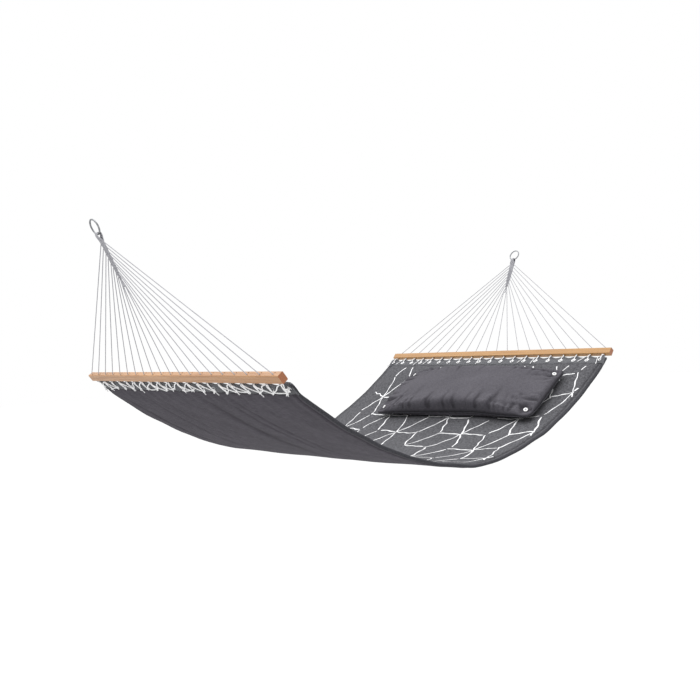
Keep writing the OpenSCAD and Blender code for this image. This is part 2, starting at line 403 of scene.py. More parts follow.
def pillow_cloth():
    # The third colour is the painted shade colour for the pillow's folds and rim.
    return cloth_look("pillow_cloth", (0.062, 0.059, 0.069), (0.108, 0.103, 0.118), (0.012, 0.011, 0.014),
                      thread=0.0018, slub=(0.0022, 0.018), sheen=0.03, bump_mm=0.2)


def binding_cloth():
    look = Look("binding_tape", (0.04, 0.04, 0.046), 0.9, specular=0.1, sheen=0.03)
    place = look.place()
    ribs = look.grain(place, (260, 260, 260), 2.0)
    fleck = look.grain(place, (900, 900, 900), 1.0)
    tone = look.mix(look.span(ribs, 0.35, 0.65), (0.020, 0.020, 0.024), (0.052, 0.052, 0.059))
    tone = look.mix(look.span(fleck, 0.4, 0.7, 0, 0.4), tone, (0.085, 0.085, 0.094))
    look.bump(ribs, 0.0005, 0.6)
    return look.done(tone)


def hem_cloth():
    """The printed cloth folded round the hem, with its fine light crosshatch."""
    look = Look("hem_cloth", (0.1, 0.1, 0.11), 0.95, specular=0.08, sheen=0.02)
    uv = look.cloth()
    x, y, _ = look.split(uv)
    lean = look.math("ADD", x, y)
    other = look.math("SUBTRACT", x, y)
    hatch = look.math("MULTIPLY", look.math("SINE", look.math("MULTIPLY", lean, TAU / 0.0080)),
                      look.math("SINE", look.math("MULTIPLY", other, TAU / 0.0080)))
    grain = look.grain(uv, (330, 330, 1), 2.0)
    tone = look.mix(look.span(grain, 0.35, 0.65), (0.038, 0.039, 0.044), (0.130, 0.131, 0.140))
    tone = look.mix(look.span(hatch, 0.25, 0.85, 0, 0.55), tone, (0.40, 0.41, 0.43))
    # Painted shade along the hem's seam to the bed.
    tone = look.mix(look.attribute("painted_shade"), tone, (0.030, 0.029, 0.034))
    look.bump(hatch, 0.0003, 0.5)
    look.bump(grain, 0.0003, 0.5)
    return look.done(tone)


def print_ink():
    look = Look("white_print", (0.80, 0.80, 0.81), 0.75, specular=0.3)
    uv = look.cloth()
    chalk = look.grain(uv, (420, 420, 1), 3.0)
    weave = look.weave(uv, 0.0022)
    tone = look.mix(look.span(chalk, 0.30, 0.52), (0.42, 0.42, 0.44), (0.90, 0.90, 0.91))
    tone = look.mix(look.span(weave, 0, 1, 0, 0.14), tone, (0.35, 0.35, 0.37))
    look.bump(weave, 0.0003, 0.5)
    return look.done(tone)


def rope_look(name="soft_spun_rope", tone_low=(0.30, 0.30, 0.32),
              tone_high=(0.47, 0.47, 0.50), soil_tone=(0.24, 0.23, 0.25)):
    look = Look(name, tone_high, 0.85, specular=0.1, sheen=0.03)
    place = look.place()
    fibre = look.grain(place, (1500, 1500, 1500), 2.0)
    soil = look.noise(place, 22.0, 2.0)
    tone = look.mix(look.span(fibre, 0.3, 0.7), tone_low, tone_high)
    tone = look.mix(look.span(soil, 0.45, 0.75, 0, 0.25), tone, soil_tone)
    look.bump(fibre, 0.0003, 0.6)
    return look.done(tone)


def lacing_look():
    return rope_look("lacing_rope", (0.80, 0.80, 0.81), (0.95, 0.95, 0.95), (0.70, 0.70, 0.70))


def wood_look(name, low, high, streak):
    """Stained hardwood: long grain along Y, pores, and end faces darkened as end grain and painted shade."""
    look = Look(name, high, 0.42, specular=0.4, coat=0.2)
    place = look.place()
    waver = look.grain(place, (30, 2.2, 30), 4.0, distortion=0.6)
    rings = look.grain(place, (150, 3.5, 150), 5.0, 0.6, 0.8)
    pores = look.grain(place, (1400, 35, 1400), 2.0)
    tone = look.mix(look.span(waver, 0.3, 0.7), low, high)
    tone = look.mix(look.span(rings, 0.45, 0.70, 0, 0.75), tone, streak)
    tone = look.mix(look.span(pores, 0.60, 0.72, 0, 0.5), tone, (0.20, 0.08, 0.03))
    # End faces, found from the normal, are darker: partly end grain with its rings, partly painted shade.
    geometry = look.nodes.new("ShaderNodeNewGeometry")
    _, y, _ = look.split(geometry.outputs["Normal"])
    end = look.span(look.math("ABSOLUTE", y), 0.6, 0.95)
    end_rings = look.grain(place, (420, 60, 420), 3.0)
    end_grain_and_shade_tone = look.mix(look.span(end_rings, 0.35, 0.65), (0.22, 0.070, 0.026), (0.36, 0.135, 0.052))
    tone = look.mix(end, tone, end_grain_and_shade_tone)
    look.bump(rings, 0.0002, 0.4)
    look.bump(pores, 0.0002, 0.3)
    return look.done(tone, look.span(rings, 0.3, 0.7, 0.36, 0.5))


def steel_look():
    look = Look("zinc_plated_wire", (0.50, 0.51, 0.53), 0.3, metallic=1.0)
    place = look.place()
    cloud = look.noise(place, 180.0, 3.0)
    scratch = look.grain(place, (2500, 400, 2500), 2.0)
    tone = look.mix(look.span(cloud, 0.35, 0.65), (0.15, 0.155, 0.165), (0.36, 0.365, 0.38))
    look.bump(scratch, 0.0001, 0.3)
    return look.done(tone, look.span(cloud, 0.3, 0.7, 0.22, 0.42))


def gloss_look(name, low, high, roughness):
    """Enamel or plastic with a faint mottle."""
    look = Look(name, high, roughness, coat=0.3)
    cloud = look.noise(look.place(), 900.0, 2.0)
    tone = look.mix(look.span(cloud, 0.35, 0.65), low, high)
    look.bump(cloud, 0.00005, 0.3)
    return look.done(tone, look.span(cloud, 0.3, 0.7, roughness - 0.05, roughness + 0.08))


def wadding_look():
    look = Look("polyester_wadding", (0.8, 0.8, 0.8), 0.95, specular=0.1, sheen=0.4)
    fluff = look.noise(look.place(), 260.0, 4.0)
    look.bump(fluff, 0.002, 0.8)
    return look.done(look.mix(look.span(fluff, 0.3, 0.7), (0.60, 0.60, 0.59), (0.86, 0.86, 0.85)))


def studio_white(name):
    look = Look(name, (0.54, 0.54, 0.54), 1.0, specular=0.0)
    look.shader.inputs["Emission Color"].default_value = (1, 1, 1, 1)
    look.shader.inputs["Emission Strength"].default_value = 0.05
    drift = look.noise(look.place(), 0.7, 2.0)
    return look.done(look.mix(look.span(drift, 0.3, 0.7), (0.53, 0.53, 0.53), (0.55, 0.55, 0.55)))


PRINTED = printed_cloth()
BACK = back_cloth()
PILLOW = pillow_cloth()
BINDING = binding_cloth()
HEM = hem_cloth()
INK = print_ink()
ROPE = rope_look()
LACING = lacing_look()
NEAR_WOOD = wood_look("reddish_hardwood", (0.36, 0.176, 0.068), (0.47, 0.250, 0.104), (0.27, 0.114, 0.040))
FAR_WOOD = wood_look("honey_hardwood", (0.36, 0.178, 0.050), (0.45, 0.245, 0.080), (0.29, 0.125, 0.034))
STEEL = steel_look()
EYELET = gloss_look("white_eyelet", (0.78, 0.78, 0.79), (0.86, 0.86, 0.86), 0.35)
CAP_WHITE = gloss_look("white_snap", (0.84, 0.84, 0.84), (0.92, 0.92, 0.92), 0.3)
CAP_GREY = gloss_look("grey_snap_centre", (0.22, 0.22, 0.24), (0.34, 0.34, 0.36), 0.4)
WADDING = wadding_look()
THREAD = gloss_look("sewing_thread", (0.03, 0.03, 0.035), (0.06, 0.06, 0.066), 0.7)


# ---------------------------------------------------------------- camera and studio

def make_camera():
    """The eye stands outside the foot end, level with the bed, looking along the hammock to the head."""
    eye = (-1.0727, -2.529, -0.4394)
    yaw, pitch, roll = math.radians(41.1), math.radians(-0.49), math.radians(-2.65)
    forward = Vector((math.sin(yaw) * math.cos(pitch), math.cos(yaw) * math.cos(pitch), math.sin(pitch)))
    right = Vector((math.cos(yaw), -math.sin(yaw), 0))
    up = right.cross(forward)
    turned_right = math.cos(roll) * right + math.sin(roll) * up
    turned_up = -math.sin(roll) * right + math.cos(roll) * up
    data = bpy.data.cameras.new("camera")
    data.lens, data.sensor_width = 39.13, 36
    camera = bpy.data.objects.new("camera", data)
    rotation = Matrix((turned_right, turned_up, -forward)).transposed()
    camera.matrix_world = Matrix.Translation(eye) @ rotation.to_4x4()
    bpy.context.scene.collection.objects.link(camera)
    bpy.context.scene.camera = camera


def soft_sun(name, direction, strength, angle):
    data = bpy.data.lights.new(name, "SUN")
    data.energy, data.angle = strength, math.radians(angle)
    light = bpy.data.objects.new(name, data)
    light.rotation_euler = Vector(direction).to_track_quat("-Z", "Y").to_euler()
    bpy.context.scene.collection.objects.link(light)


def make_studio():
    """A white room, a pale floor well below the hammock and broad light from overhead."""
    world = bpy.data.worlds.new("studio")
    world.use_nodes = True
    world.node_tree.nodes["Background"].inputs["Color"].default_value = (1, 1, 1, 1)
    world.node_tree.nodes["Background"].inputs["Strength"].default_value = 1.0
    bpy.context.scene.world = world
    bpy.context.scene.view_settings.view_transform = "Standard"
    shape = Shape()
    side, floor_z, cells = 60.0, -4.2, 25
    at = np.linspace(-side, side, cells)
    points = [(BED_MID + x, y, floor_z) for y in at for x in at]
    shape.add(points, grid_faces(cells, cells))
    floor = shape.build("studio_floor", studio_white("pale_floor"))
    soft_sun("overhead", (0.10, -0.14, -1.0), 2.7, 100)


# ---------------------------------------------------------------- the bed's surface

def hang_height(u):
    return HEM_EDGE[2] - BED_SAG * (1 - np.abs(u) ** SAG_POWER)


U_TABLE = np.linspace(-1, 1, 4001)
LINE_TABLE = np.stack([BED_MID + BED_HALF * U_TABLE, hang_height(U_TABLE)], axis=1)
ARC_TABLE = np.concatenate([[0], np.cumsum(np.linalg.norm(np.diff(LINE_TABLE, axis=0), axis=1))])
BED_LEN = ARC_TABLE[-1]
ARC_TABLE = ARC_TABLE - BED_LEN / 2
HALF_LEN = BED_LEN / 2
SEAM_ARC = HALF_LEN - HEM_LEN
COVER_W = BED_W - 2 * BINDING_W


def line_y(line):
    return (line - (LINES - 1) / 2) * HOLE_PITCH


LAST_LINE = abs(line_y(0))


def lacing_phase(y):
    """Counts the lacing points across the bed: a whole number at each of them."""
    return (y - line_y(0)) / HOLE_PITCH


def smooth_step(value, low, high):
    t = np.clip((value - low) / (high - low), 0, 1)
    return t * t * (3 - 2 * t)


def waves(a, y, seed, terms):
    """Soft seeded unevenness: a few slow sine waves over the cloth, about 1 at most."""
    rng = random.Random(seed)
    total = np.zeros(np.broadcast(a, y).shape)
    for long_a, long_y in terms:
        lean = rng.uniform(-0.4, 0.4)
        phase = rng.uniform(0, TAU)
        total = total + np.sin(TAU * (a / long_a + y / long_y * (1 + lean)) + phase)
    return total / len(terms)


def creases(a, y):
    """Long uneven creases below the foot lacing, as a share of their depth from 0 to 1."""
    from_foot = a + HALF_LEN
    bent = lacing_phase(y) + 1.5 * from_foot
    turn = math.pi * bent / 1.75 + 1.25 * np.sin(TAU * bent / 7.3 + 1.1) + 0.55 * np.sin(TAU * bent / 3.1)
    sharp = (1 - np.abs(np.sin(turn))) ** 2.2
    strength = 0.55 + 0.55 * np.sin(TAU * bent / 9.1 + 2.2) + 0.25 * np.sin(TAU * bent / 4.3)
    strength = np.clip(strength, 0.1, 1)
    along = hump(from_foot - 0.30, 0.36) * smooth_step(from_foot, 0.05, 0.16)
    return sharp * strength * along * smooth_step(BED_W / 2 - np.abs(y), 0.02, 0.12)


def pleats(a, y):
    """Folds that run in from the lacing points and die out towards the belly."""
    from_foot = a + HALF_LEN
    from_head = HALF_LEN - a
    phase = lacing_phase(y)
    fine = 0.5 - 0.5 * np.cos(TAU * phase)
    wide = np.sin(TAU * phase / 2.0 + 1.6 * np.sin(TAU * phase / 7.3) + 1.3)
    foot = 0.0034 * fine * hump(from_foot, 0.12) * smooth_step(from_foot, 0.0, 0.05)
    head = 0.0026 * fine * hump(from_head, 0.10) * smooth_step(from_head, 0.0, 0.05)
    head_wide = 0.0010 * wide * hump(from_head - 0.22, 0.2) * smooth_step(from_head, 0.04, 0.2)
    inside = smooth_step(BED_W / 2 - np.abs(y), 0.0, 0.05)
    return (foot + head + head_wide) * inside


def corner_slip(a, y):
    """The bed's corners, past the last lacing point, hang back from the bar."""
    outside = smooth_step(np.abs(y), LAST_LINE - 0.004, BED_W / 2)
    return np.sign(a) * 0.013 * outside * hump(HALF_LEN - np.abs(a), 0.05)


def corner_lift(a, y):
    """The cloth beyond the last lacing point, held by nothing, puffs up beside the bar's end."""
    outside = smooth_step(np.abs(y), LAST_LINE - 0.014, LAST_LINE + 0.018)
    edge = 1 - 0.75 * smooth_step(np.abs(y), BED_W / 2 - 0.012, BED_W / 2)
    from_hem = HALF_LEN - np.abs(a)
    along = hump(from_hem - 0.012, 0.034)
    return np.where(a < 0, 0.016, 0.009) * outside * edge * along


def middle_surface(a, y):
    """Points and upward normals of the bed's mid-surface at arc length a from the belly and at y."""
    a, y = np.broadcast_arrays(np.asarray(a, float), np.asarray(y, float))
    u = np.interp(a - corner_slip(a, y), ARC_TABLE, U_TABLE)
    slope = BED_SAG * SAG_POWER * np.abs(u) ** (SAG_POWER - 1) * np.sign(u) / BED_HALF
    normal = np.stack([-slope, np.zeros_like(slope), np.ones_like(slope)], axis=-1)
    normal /= np.linalg.norm(normal, axis=-1, keepdims=True)
    depth = (1 - np.abs(u) ** SAG_POWER)
    across = np.clip(y / BED_W + 0.5, 0, 1)
    far = FAR_SAG * across ** 1.4 * depth ** 1.4
    trough = 0.006 * (1 - (2 * y / BED_W) ** 2) * depth
    ripple = 0.0035 * waves(a, y, SEED, [(0.9, 1.7), (0.55, -1.1), (1.3, 0.6)]) * depth ** 0.7
    edge = smooth_step(np.abs(y), BED_W / 2 - 0.10, BED_W / 2)
    edge_wave = 0.0030 * waves(a, y * 0.1, SEED + 1, [(0.23, 9.0), (0.37, -7.0), (0.16, 5.0)])
    edge_wave = edge_wave * edge * depth ** 0.5
    point = np.stack([BED_MID + BED_HALF * u, y, hang_height(u) - far - trough], axis=-1)
    return point + normal * (pleats(a, y) + ripple + edge_wave + corner_lift(a, y))[..., None], normal


def half_thickness(a, y):
    """Half of the bed's thickness: full in the middle, thin at the hems, and pulled in at the edge seams."""
    to_seam = SEAM_ARC - np.abs(a)
    full = HEM_HALF_T + 0.0012 + (SKIN - HEM_HALF_T - 0.0012) * smooth_step(to_seam, -0.004, 0.045)
    from_side = COVER_W / 2 - np.abs(y)
    side = 0.55 + 0.45 * smooth_step(from_side, 0.0, 0.024)
    groove = 0.0024 * hump(from_side - SEAM_INSET, 0.0030) * smooth_step(to_seam, 0.0, 0.03)
    puff = 0.0016 * waves(a, y, SEED + 2, [(0.19, 0.4), (0.31, -0.23), (0.12, 0.15)])
    return full * side - groove + puff * smooth_step(to_seam, 0.0, 0.06) * smooth_step(from_side, 0.0, 0.04)


def bed_surface(a, y, side, lift=0.0):
    """Points on the bed's upper (side 1) or lower (side -1) face."""
    point, normal = middle_surface(a, y)
    offset = side * (half_thickness(a, y) + lift)
    if side < 0:
        offset = offset + CREASE_DEPTH * creases(a, y)
    return point + normal * offset[..., None]


def bed_grid(name, side, material):
    """One face of the bed as a sheet of cloth, with painted shade beside its seams and, on the lower face, in
    its creases.
    """
    rows = int(2 * SEAM_ARC / BED_CELL)
    columns = int(COVER_W / BED_CELL)
    a = np.linspace(-SEAM_ARC - COVER_TUCK, SEAM_ARC + COVER_TUCK, rows)
    y = np.linspace(-COVER_W / 2 - COVER_TUCK, COVER_W / 2 + COVER_TUCK, columns)
    a, y = np.meshgrid(a, y, indexing="ij")
    points = bed_surface(a, y, side)
    shape = Shape()
    from_side = COVER_W / 2 - np.abs(y)
    # Painted shade in the groove beside each side seam.
    beside = 0.85 * hump(from_side - SEAM_INSET, 0.0034)
    # Painted shade at the hem seam: strong on the lower face, faint on the upper.
    hem_seam_shade = (0.95 if side < 0 else 0.35) * hump(SEAM_ARC - np.abs(a), 0.0065)
    painted_shade = np.maximum(beside, hem_seam_shade)
    # Painted shade in the creases of the lower face.
    if side < 0:
        painted_shade = np.maximum(painted_shade, 0.50 * creases(a, y))
    shape.add(points.reshape(-1, 3), grid_faces(rows, columns, flip=side > 0), painted_shade.ravel())
    piece = shape.build(name, material)
    set_uv(piece, np.stack([y.ravel(), a.ravel()], axis=1))
    return piece


def make_cover():
    return tie(bed_grid("printed_bed_cover", 1, PRINTED), "hammock", "bed_cover")


def make_back():
    return tie(bed_grid("plain_bed_back", -1, BACK), "hammock", "bed_back")


def make_wadding():
    """The padding between the covers, a closed sheet one millimetre inside them."""
    cell = 0.03
    rows, columns = int(2 * SEAM_ARC / cell), int(COVER_W / cell)
    a = np.linspace(-SEAM_ARC + 0.006, SEAM_ARC - 0.006, rows)
    y = np.linspace(-COVER_W / 2 + 0.020, COVER_W / 2 - 0.020, columns)
    a, y = np.meshgrid(a, y, indexing="ij")
    upper = bed_surface(a, y, 1, lift=-0.0022).reshape(-1, 3)
    lower = bed_surface(a, y, -1, lift=-0.0022 - CREASE_DEPTH).reshape(-1, 3)
    count = rows * columns
    faces = grid_faces(rows, columns, flip=True)
    faces += [tuple(i + count for i in face) for face in grid_faces(rows, columns)]
    rim = [k for k in range(columns)]
    rim += [i * columns + columns - 1 for i in range(1, rows)]
    rim += [(rows - 1) * columns + k for k in range(columns - 2, -1, -1)]
    rim += [i * columns for i in range(rows - 2, 0, -1)]
    for k, here in enumerate(rim):
        there = rim[(k + 1) % len(rim)]
        faces.append((here, there, there + count, here + count))
    shape = Shape()
    shape.add(np.vstack([upper, lower]), faces)
    piece = shape.build("bed_wadding", WADDING)
    tie(piece, "hammock", "bed_padding")
    return piece


def edge_arc(y):
    """How far from the belly the hem's edge lies: it is drawn to the bar at each lacing point."""
    phase = lacing_phase(y)
    scallop = 0.0095 * (0.5 - 0.5 * np.cos(TAU * phase))
    outside = smooth_step(np.abs(y), LAST_LINE + 0.004, BED_W / 2)
    return HALF_LEN + 0.001 - scallop * (1 - outside) - 0.012 * outside


def make_hem(end):
    """The hem band, one strip of cloth folded round the bed's end from its lower seam to its upper one."""
    columns = int(BED_W / 0.0035)
    half_w = BED_W / 2 + HEM_OVER
    y = np.linspace(-half_w, half_w, columns)
    edge = edge_arc(y)
    rounded = np.sqrt(np.clip(1 - (np.maximum(0, np.abs(y) - half_w + 0.008) / 0.008) ** 2, 0.04, 1))
    profile = []
    steps = 9
    for t in np.linspace(0, 1, steps):
        profile.append((-1, t))
    for turn in np.linspace(0, math.pi, 7)[1:-1]:
        profile.append((turn, None))
    for t in np.linspace(1, 0, steps):
        profile.append((1, t))
    rows, coords, tints = [], [], []
    run = 0.0
    for kind, t in profile:
        if t is None:
            arc = edge + HEM_HALF_T * math.sin(kind)
            offset = -HEM_HALF_T * math.cos(kind) * rounded
            painted_shade = 0.0
        else:
            arc = SEAM_ARC - HEM_LAP + t * (edge - SEAM_ARC + HEM_LAP)
            swell = 0.0011 * math.sin(math.pi * min(1, 1.15 * t)) + 0.0014 * (1 - t)
            offset = kind * (HEM_HALF_T + swell) * rounded
            # Painted shade at the hem's seam to the bed, stronger on the lower face.
            painted_shade = (0.95 if kind < 0 else 0.4) if t < 0.10 else 0.0
        arc = np.minimum(arc, HALF_LEN + HEM_HALF_T)
        inside = np.minimum(arc, HALF_LEN)
        point, normal = middle_surface(-inside, y)
        _, unit = middle_surface(-HALF_LEN, y)
        tangent = np.stack([-unit[..., 2], np.zeros_like(y), unit[..., 0]], axis=-1)
        rows.append(point + normal * offset[:, None] + tangent * (arc - inside)[:, None])
        coords.append(np.stack([y, np.full_like(y, run)], axis=1))
        tints.append(np.full(len(y), painted_shade))
        run += HEM_LEN / steps
    shape = Shape()
    shape.add(np.vstack(rows), grid_faces(len(rows), columns, flip=True), np.concatenate(tints))
    name = END_NAMES[end]
    piece = shape.build(name + "_hem_fold", HEM, head=bool(end))
    set_uv(piece, np.vstack(coords))
    tie(piece, "hammock", name + "_hem_band")
    return piece


def make_binding(side):
    """A padded tape sewn round the bed's long edge, puckered a little at each stitch."""
    steps = int(BED_LEN / 0.004)
    sides = 14
    arc = np.linspace(-HALF_LEN - 0.001, HALF_LEN + 0.001, steps)
    inside = np.clip(arc, -HALF_LEN, HALF_LEN)
    y = np.full_like(arc, side * (BED_W / 2 - BINDING_W / 2))
    point, normal = middle_surface(inside, y)
    thick = half_thickness(inside, np.full_like(arc, side * (COVER_W / 2 - 0.001))) + 0.0012
    pucker = 1 + 0.035 * np.sin(TAU * arc / 0.0085) + 0.03 * waves(arc, y, SEED + 5, [(0.05, 9), (0.031, 9)])
    close = np.minimum(1, np.sqrt(np.clip((HALF_LEN + 0.001 - np.abs(arc)) / 0.006, 0.02, 1)))
    theta = circle(sides)
    round_y = np.sign(np.cos(theta)) * np.abs(np.cos(theta)) ** 0.8
    round_n = np.sign(np.sin(theta)) * np.abs(np.sin(theta)) ** 0.8
    half_w = (BINDING_W / 2 + 0.0015) * close
    up = (thick * pucker * close)[:, None] * round_n[None, :]
    out = half_w[:, None] * round_y[None, :]
    ring = point[:, None, :] + normal[:, None, :] * up[..., None] + ACROSS * out[..., None]
    faces = [face[::-1] for face in tube_faces(steps, sides)]
    shape = Shape()
    shape.add(ring.reshape(-1, 3), faces)
    name = "left" if side > 0 else "right"
    piece = shape.build(name + "_edge_binding", BINDING)
    tie(piece, "hammock", name + "_binding")
    return piece


# ---------------------------------------------------------------- stitches

STITCH_LEN, STITCH_PITCH, STITCH_R = 0.0032, 0.0048, 0.0004


def stitch_run(shape, line, out):
    """Short thread stitches along a line, each a small bowed capsule lying on the cloth."""
    line = evenly(line, STITCH_PITCH)
    centre = (line[:-1] + line[1:]) / 2
    along = np.diff(line, axis=0)
    along /= np.linalg.norm(along, axis=1, keepdims=True)
    up = out / np.linalg.norm(out, axis=-1, keepdims=True)
    up = np.broadcast_to(up, centre.shape) if up.ndim == 1 else up[:len(centre)]
    wide = np.cross(along, up)
    sides, rings = 5, 4
    t = np.linspace(-1, 1, rings)
    theta = circle(sides)
    thick = STITCH_R * np.sqrt(np.clip(1.15 - t ** 2, 0.05, 1))
    local = np.zeros((rings, sides, 3))
    local[..., 0] = (t * STITCH_LEN / 2)[:, None]
    local[..., 1] = thick[:, None] * np.cos(theta)[None, :]
    local[..., 2] = thick[:, None] * np.sin(theta)[None, :] + (STITCH_R * 0.6 * (1 - t ** 2))[:, None]
    local = local.reshape(-1, 3)
    points = (centre[:, None, :] + local[None, :, :1] * along[:, None, :]
              + local[None, :, 1:2] * wide[:, None, :] + local[None, :, 2:] * up[:, None, :])
    base = tube_faces(rings, sides)
    each = rings * sides
    faces = [tuple(i + n * each for i in face) for n in range(len(centre)) for face in base]
    shape.add(points.reshape(-1, 3), faces)


def make_bed_stitching():
    """Thread rows beside each binding, on both faces."""
    shape = Shape()
    arc = np.arange(-SEAM_ARC + 0.01, SEAM_ARC - 0.01, 0.01)
    for side in (-1, 1):
        for face in (-1, 1):
            y = np.full_like(arc, side * (COVER_W / 2 - 0.0045))
            line = bed_surface(arc, y, face, lift=0.0003)
            stitch_run(shape, line, np.array([0, 0, float(face)]))
    piece = shape.build("edge_stitching", THREAD)
    tie(piece, "hammock")


def make_hem_stitching(end):
    shape = Shape()
    y = np.arange(-COVER_W / 2 + 0.006, COVER_W / 2 - 0.006, 0.006)
    for face in (-1, 1):
        for inset in (0.008, HEM_LEN - 0.004):
            arc = np.full_like(y, HALF_LEN - inset) if inset > 0.02 else edge_arc(y) - inset
            point, normal = middle_surface(-arc, y)
            line = point + normal * (face * (HEM_HALF_T + 0.0014))
            stitch_run(shape, line, normal[0] * face)
    name = END_NAMES[end]
    piece = shape.build(name + "_hem_stitching", THREAD, head=bool(end))
    tie(piece, "hammock")


# ---------------------------------------------------------------- the print

STAR_STEP = 0.330
STAR_ROW = 0.203
STAR_AT = (0.325, -0.305)
ARM_OUT, ARM_UP = STAR_STEP / 2, STAR_ROW / 3
ARMS = [(ARM_OUT, ARM_UP), (ARM_OUT, -ARM_UP), (-ARM_OUT, ARM_UP), (-ARM_OUT, -ARM_UP),
        (0.0, 2 * ARM_UP), (0.0, -2 * ARM_UP)]
SQUEEZE_FROM, SQUEEZE, SLANT = 0.50, 0.72, 0.30
PRINT_MARGIN = 0.020


def drawn_in(place):
    """The pattern is drawn closer together beside the bed's long edges."""
    arc, y = place
    beyond = max(0.0, abs(y) - SQUEEZE_FROM)
    return arc + SLANT * beyond, math.copysign(abs(y) - beyond * (1 - SQUEEZE), y)


def stroke(shape, coords, start, stop, rng):
    """One brushed line of the print, between two places on the cover, given as (arc, y)."""
    start, stop = np.array(start), np.array(stop)
    run = stop - start
    length = np.linalg.norm(run)
    along = run / length
    aside = np.array([-along[1], along[0]])
    count = max(6, int(length / 0.0075))
    t = np.linspace(0, 1, count)
    bow = rng.uniform(-0.006, 0.006)
    phase, waver = rng.uniform(0, TAU), rng.uniform(0.0012, 0.0028)
    kink_at, kink = rng.uniform(0.25, 0.75), rng.uniform(-0.005, 0.005)
    off = bow * 4 * t * (1 - t) + waver * np.sin(TAU * t * rng.uniform(1.2, 2.4) + phase)
    off = off + kink * np.clip(1 - np.abs(t - kink_at) / 0.3, 0, 1)
    base = rng.uniform(0.0024, 0.0036)
    width = base * (1 + 0.22 * np.sin(TAU * t * rng.uniform(1.5, 3) + rng.uniform(0, TAU)))
    width = width * np.minimum(1, 0.45 + np.minimum(t, 1 - t) * length / 0.012)
    centre = start[None] + t[:, None] * run[None] + off[:, None] * aside[None]
    lanes = np.linspace(-1, 1, 3)
    spots = centre[:, None, :] + (width[:, None] * lanes[None, :])[..., None] * aside[None, None, :]
    arc, y = spots[..., 0], spots[..., 1]
    keep = (np.abs(arc) < SEAM_ARC - PRINT_MARGIN) & (np.abs(y) < COVER_W / 2 - SEAM_INSET - 0.004)
    good = keep.all(axis=1)
    begin = None
    for i in range(count + 1):
        inside = i < count and good[i]
        if inside and begin is None:
            begin = i
        if not inside and begin is not None:
            if i - begin >= 3:
                part_a, part_y = arc[begin:i], y[begin:i]
                points = bed_surface(part_a, part_y, 1, lift=0.0006)
                shape.add(points.reshape(-1, 3), grid_faces(i - begin, len(lanes)))
                coords.append(np.stack([part_y.ravel(), part_a.ravel()], axis=1))
            begin = None


def make_print():
    rng = random.Random(SEED)
    shape, coords = Shape(), []
    for row in range(-4, 5):
        for step in range(-6, 6):
            at = (STAR_AT[0] + row * STAR_STEP / 2 + step * STAR_STEP, STAR_AT[1] + row * STAR_ROW)
            for arm in ARMS:
                first = rng.uniform(-0.03, 0.05)
                last = rng.uniform(0.86, 1.06)
                if rng.random() < 0.07:
                    continue
                jitter = [rng.uniform(-0.006, 0.006) for _ in range(4)]
                start = (at[0] + first * arm[0] + jitter[0] * 0.5, at[1] + first * arm[1] + jitter[1] * 0.5)
                stop = (at[0] + last * arm[0] + jitter[2], at[1] + last * arm[1] + jitter[3])
                stroke(shape, coords, drawn_in(start), drawn_in(stop), rng)
    piece = shape.build("white_line_print", INK)
    set_uv(piece, np.vstack(coords))
    tie(piece, "hammock")
    return piece


# ---------------------------------------------------------------- rings, clews and ropes

WARP_GAP, WARP_R = 0.0029, 0.00135
WARP_LAY = 0.009
WELD_AT = 0.9
KNOT_SIZE, KNOT_ROPE_R = 0.0031, 0.00135


def make_ring(end):
    """Round wire bent to a ring, with the low bead of its butt weld."""
    around, sides = 120, 18
    phi = circle(around)
    theta = circle(sides)
    radial = -np.cos(phi)[:, None] * PULL[None, :] + np.sin(phi)[:, None] * ACROSS[None, :]
    from_weld = np.minimum(phi, TAU - phi) - WELD_AT
    bead = 1 + 0.16 * hump(from_weld, 0.05)
    groove = 1 - 0.03 * hump(from_weld, 0.012)
    r = WIRE_R * bead * groove
    ring = (RING_R * radial[:, None, :]
            + (r[:, None] * np.cos(theta)[None, :])[..., None] * radial[:, None, :]
            + (r[:, None] * np.sin(theta)[None, :])[..., None] * PULL_NORMAL[None, None, :])
    faces = []
    for i in range(around):
        a, b = i * sides, (i + 1) % around * sides
        for k in range(sides):
            n = (k + 1) % sides
            faces.append((a + k, b + k, b + n, a + n))
    shape = Shape()
    shape.add(ring.reshape(-1, 3), faces)
    name = END_NAMES[end]
    piece = shape.build(name + "_hanging_ring", STEEL, head=bool(end))
    tie(piece, "rings", name + "_ring")


def in_pull(s, y, n):
    """A point s along the pull, y across and n off the plane that the ropes fan out in."""
    s, y, n = (np.asarray(value)[..., None] for value in (s, y, n))
    return s * PULL + y * ACROSS + n * PULL_NORMAL


def leave_s(rank):
    return RING_R + LEAVE_FIRST + rank * (LEAVE_LAST - LEAVE_FIRST) / (RANKS - 1)


def column_y(rank, side):
    """A line's warp hangs on the far side of the clew from where it leaves."""
    return -side * (RANKS / 2 - 0.5 - rank // 2) * WARP_GAP


def spread(s):
    """The mat's lines stand wider apart lower down, where fewer are left."""
    return 1 + 1.3 * smooth_step(s - RING_R, 0.03, LEAVE_LAST)


def exit_place(rank, side):
    half = (RANKS / 2 - 0.5 - rank // 2) * WARP_GAP
    s = leave_s(rank)
    return s, side * (half * spread(s) + 0.0048)


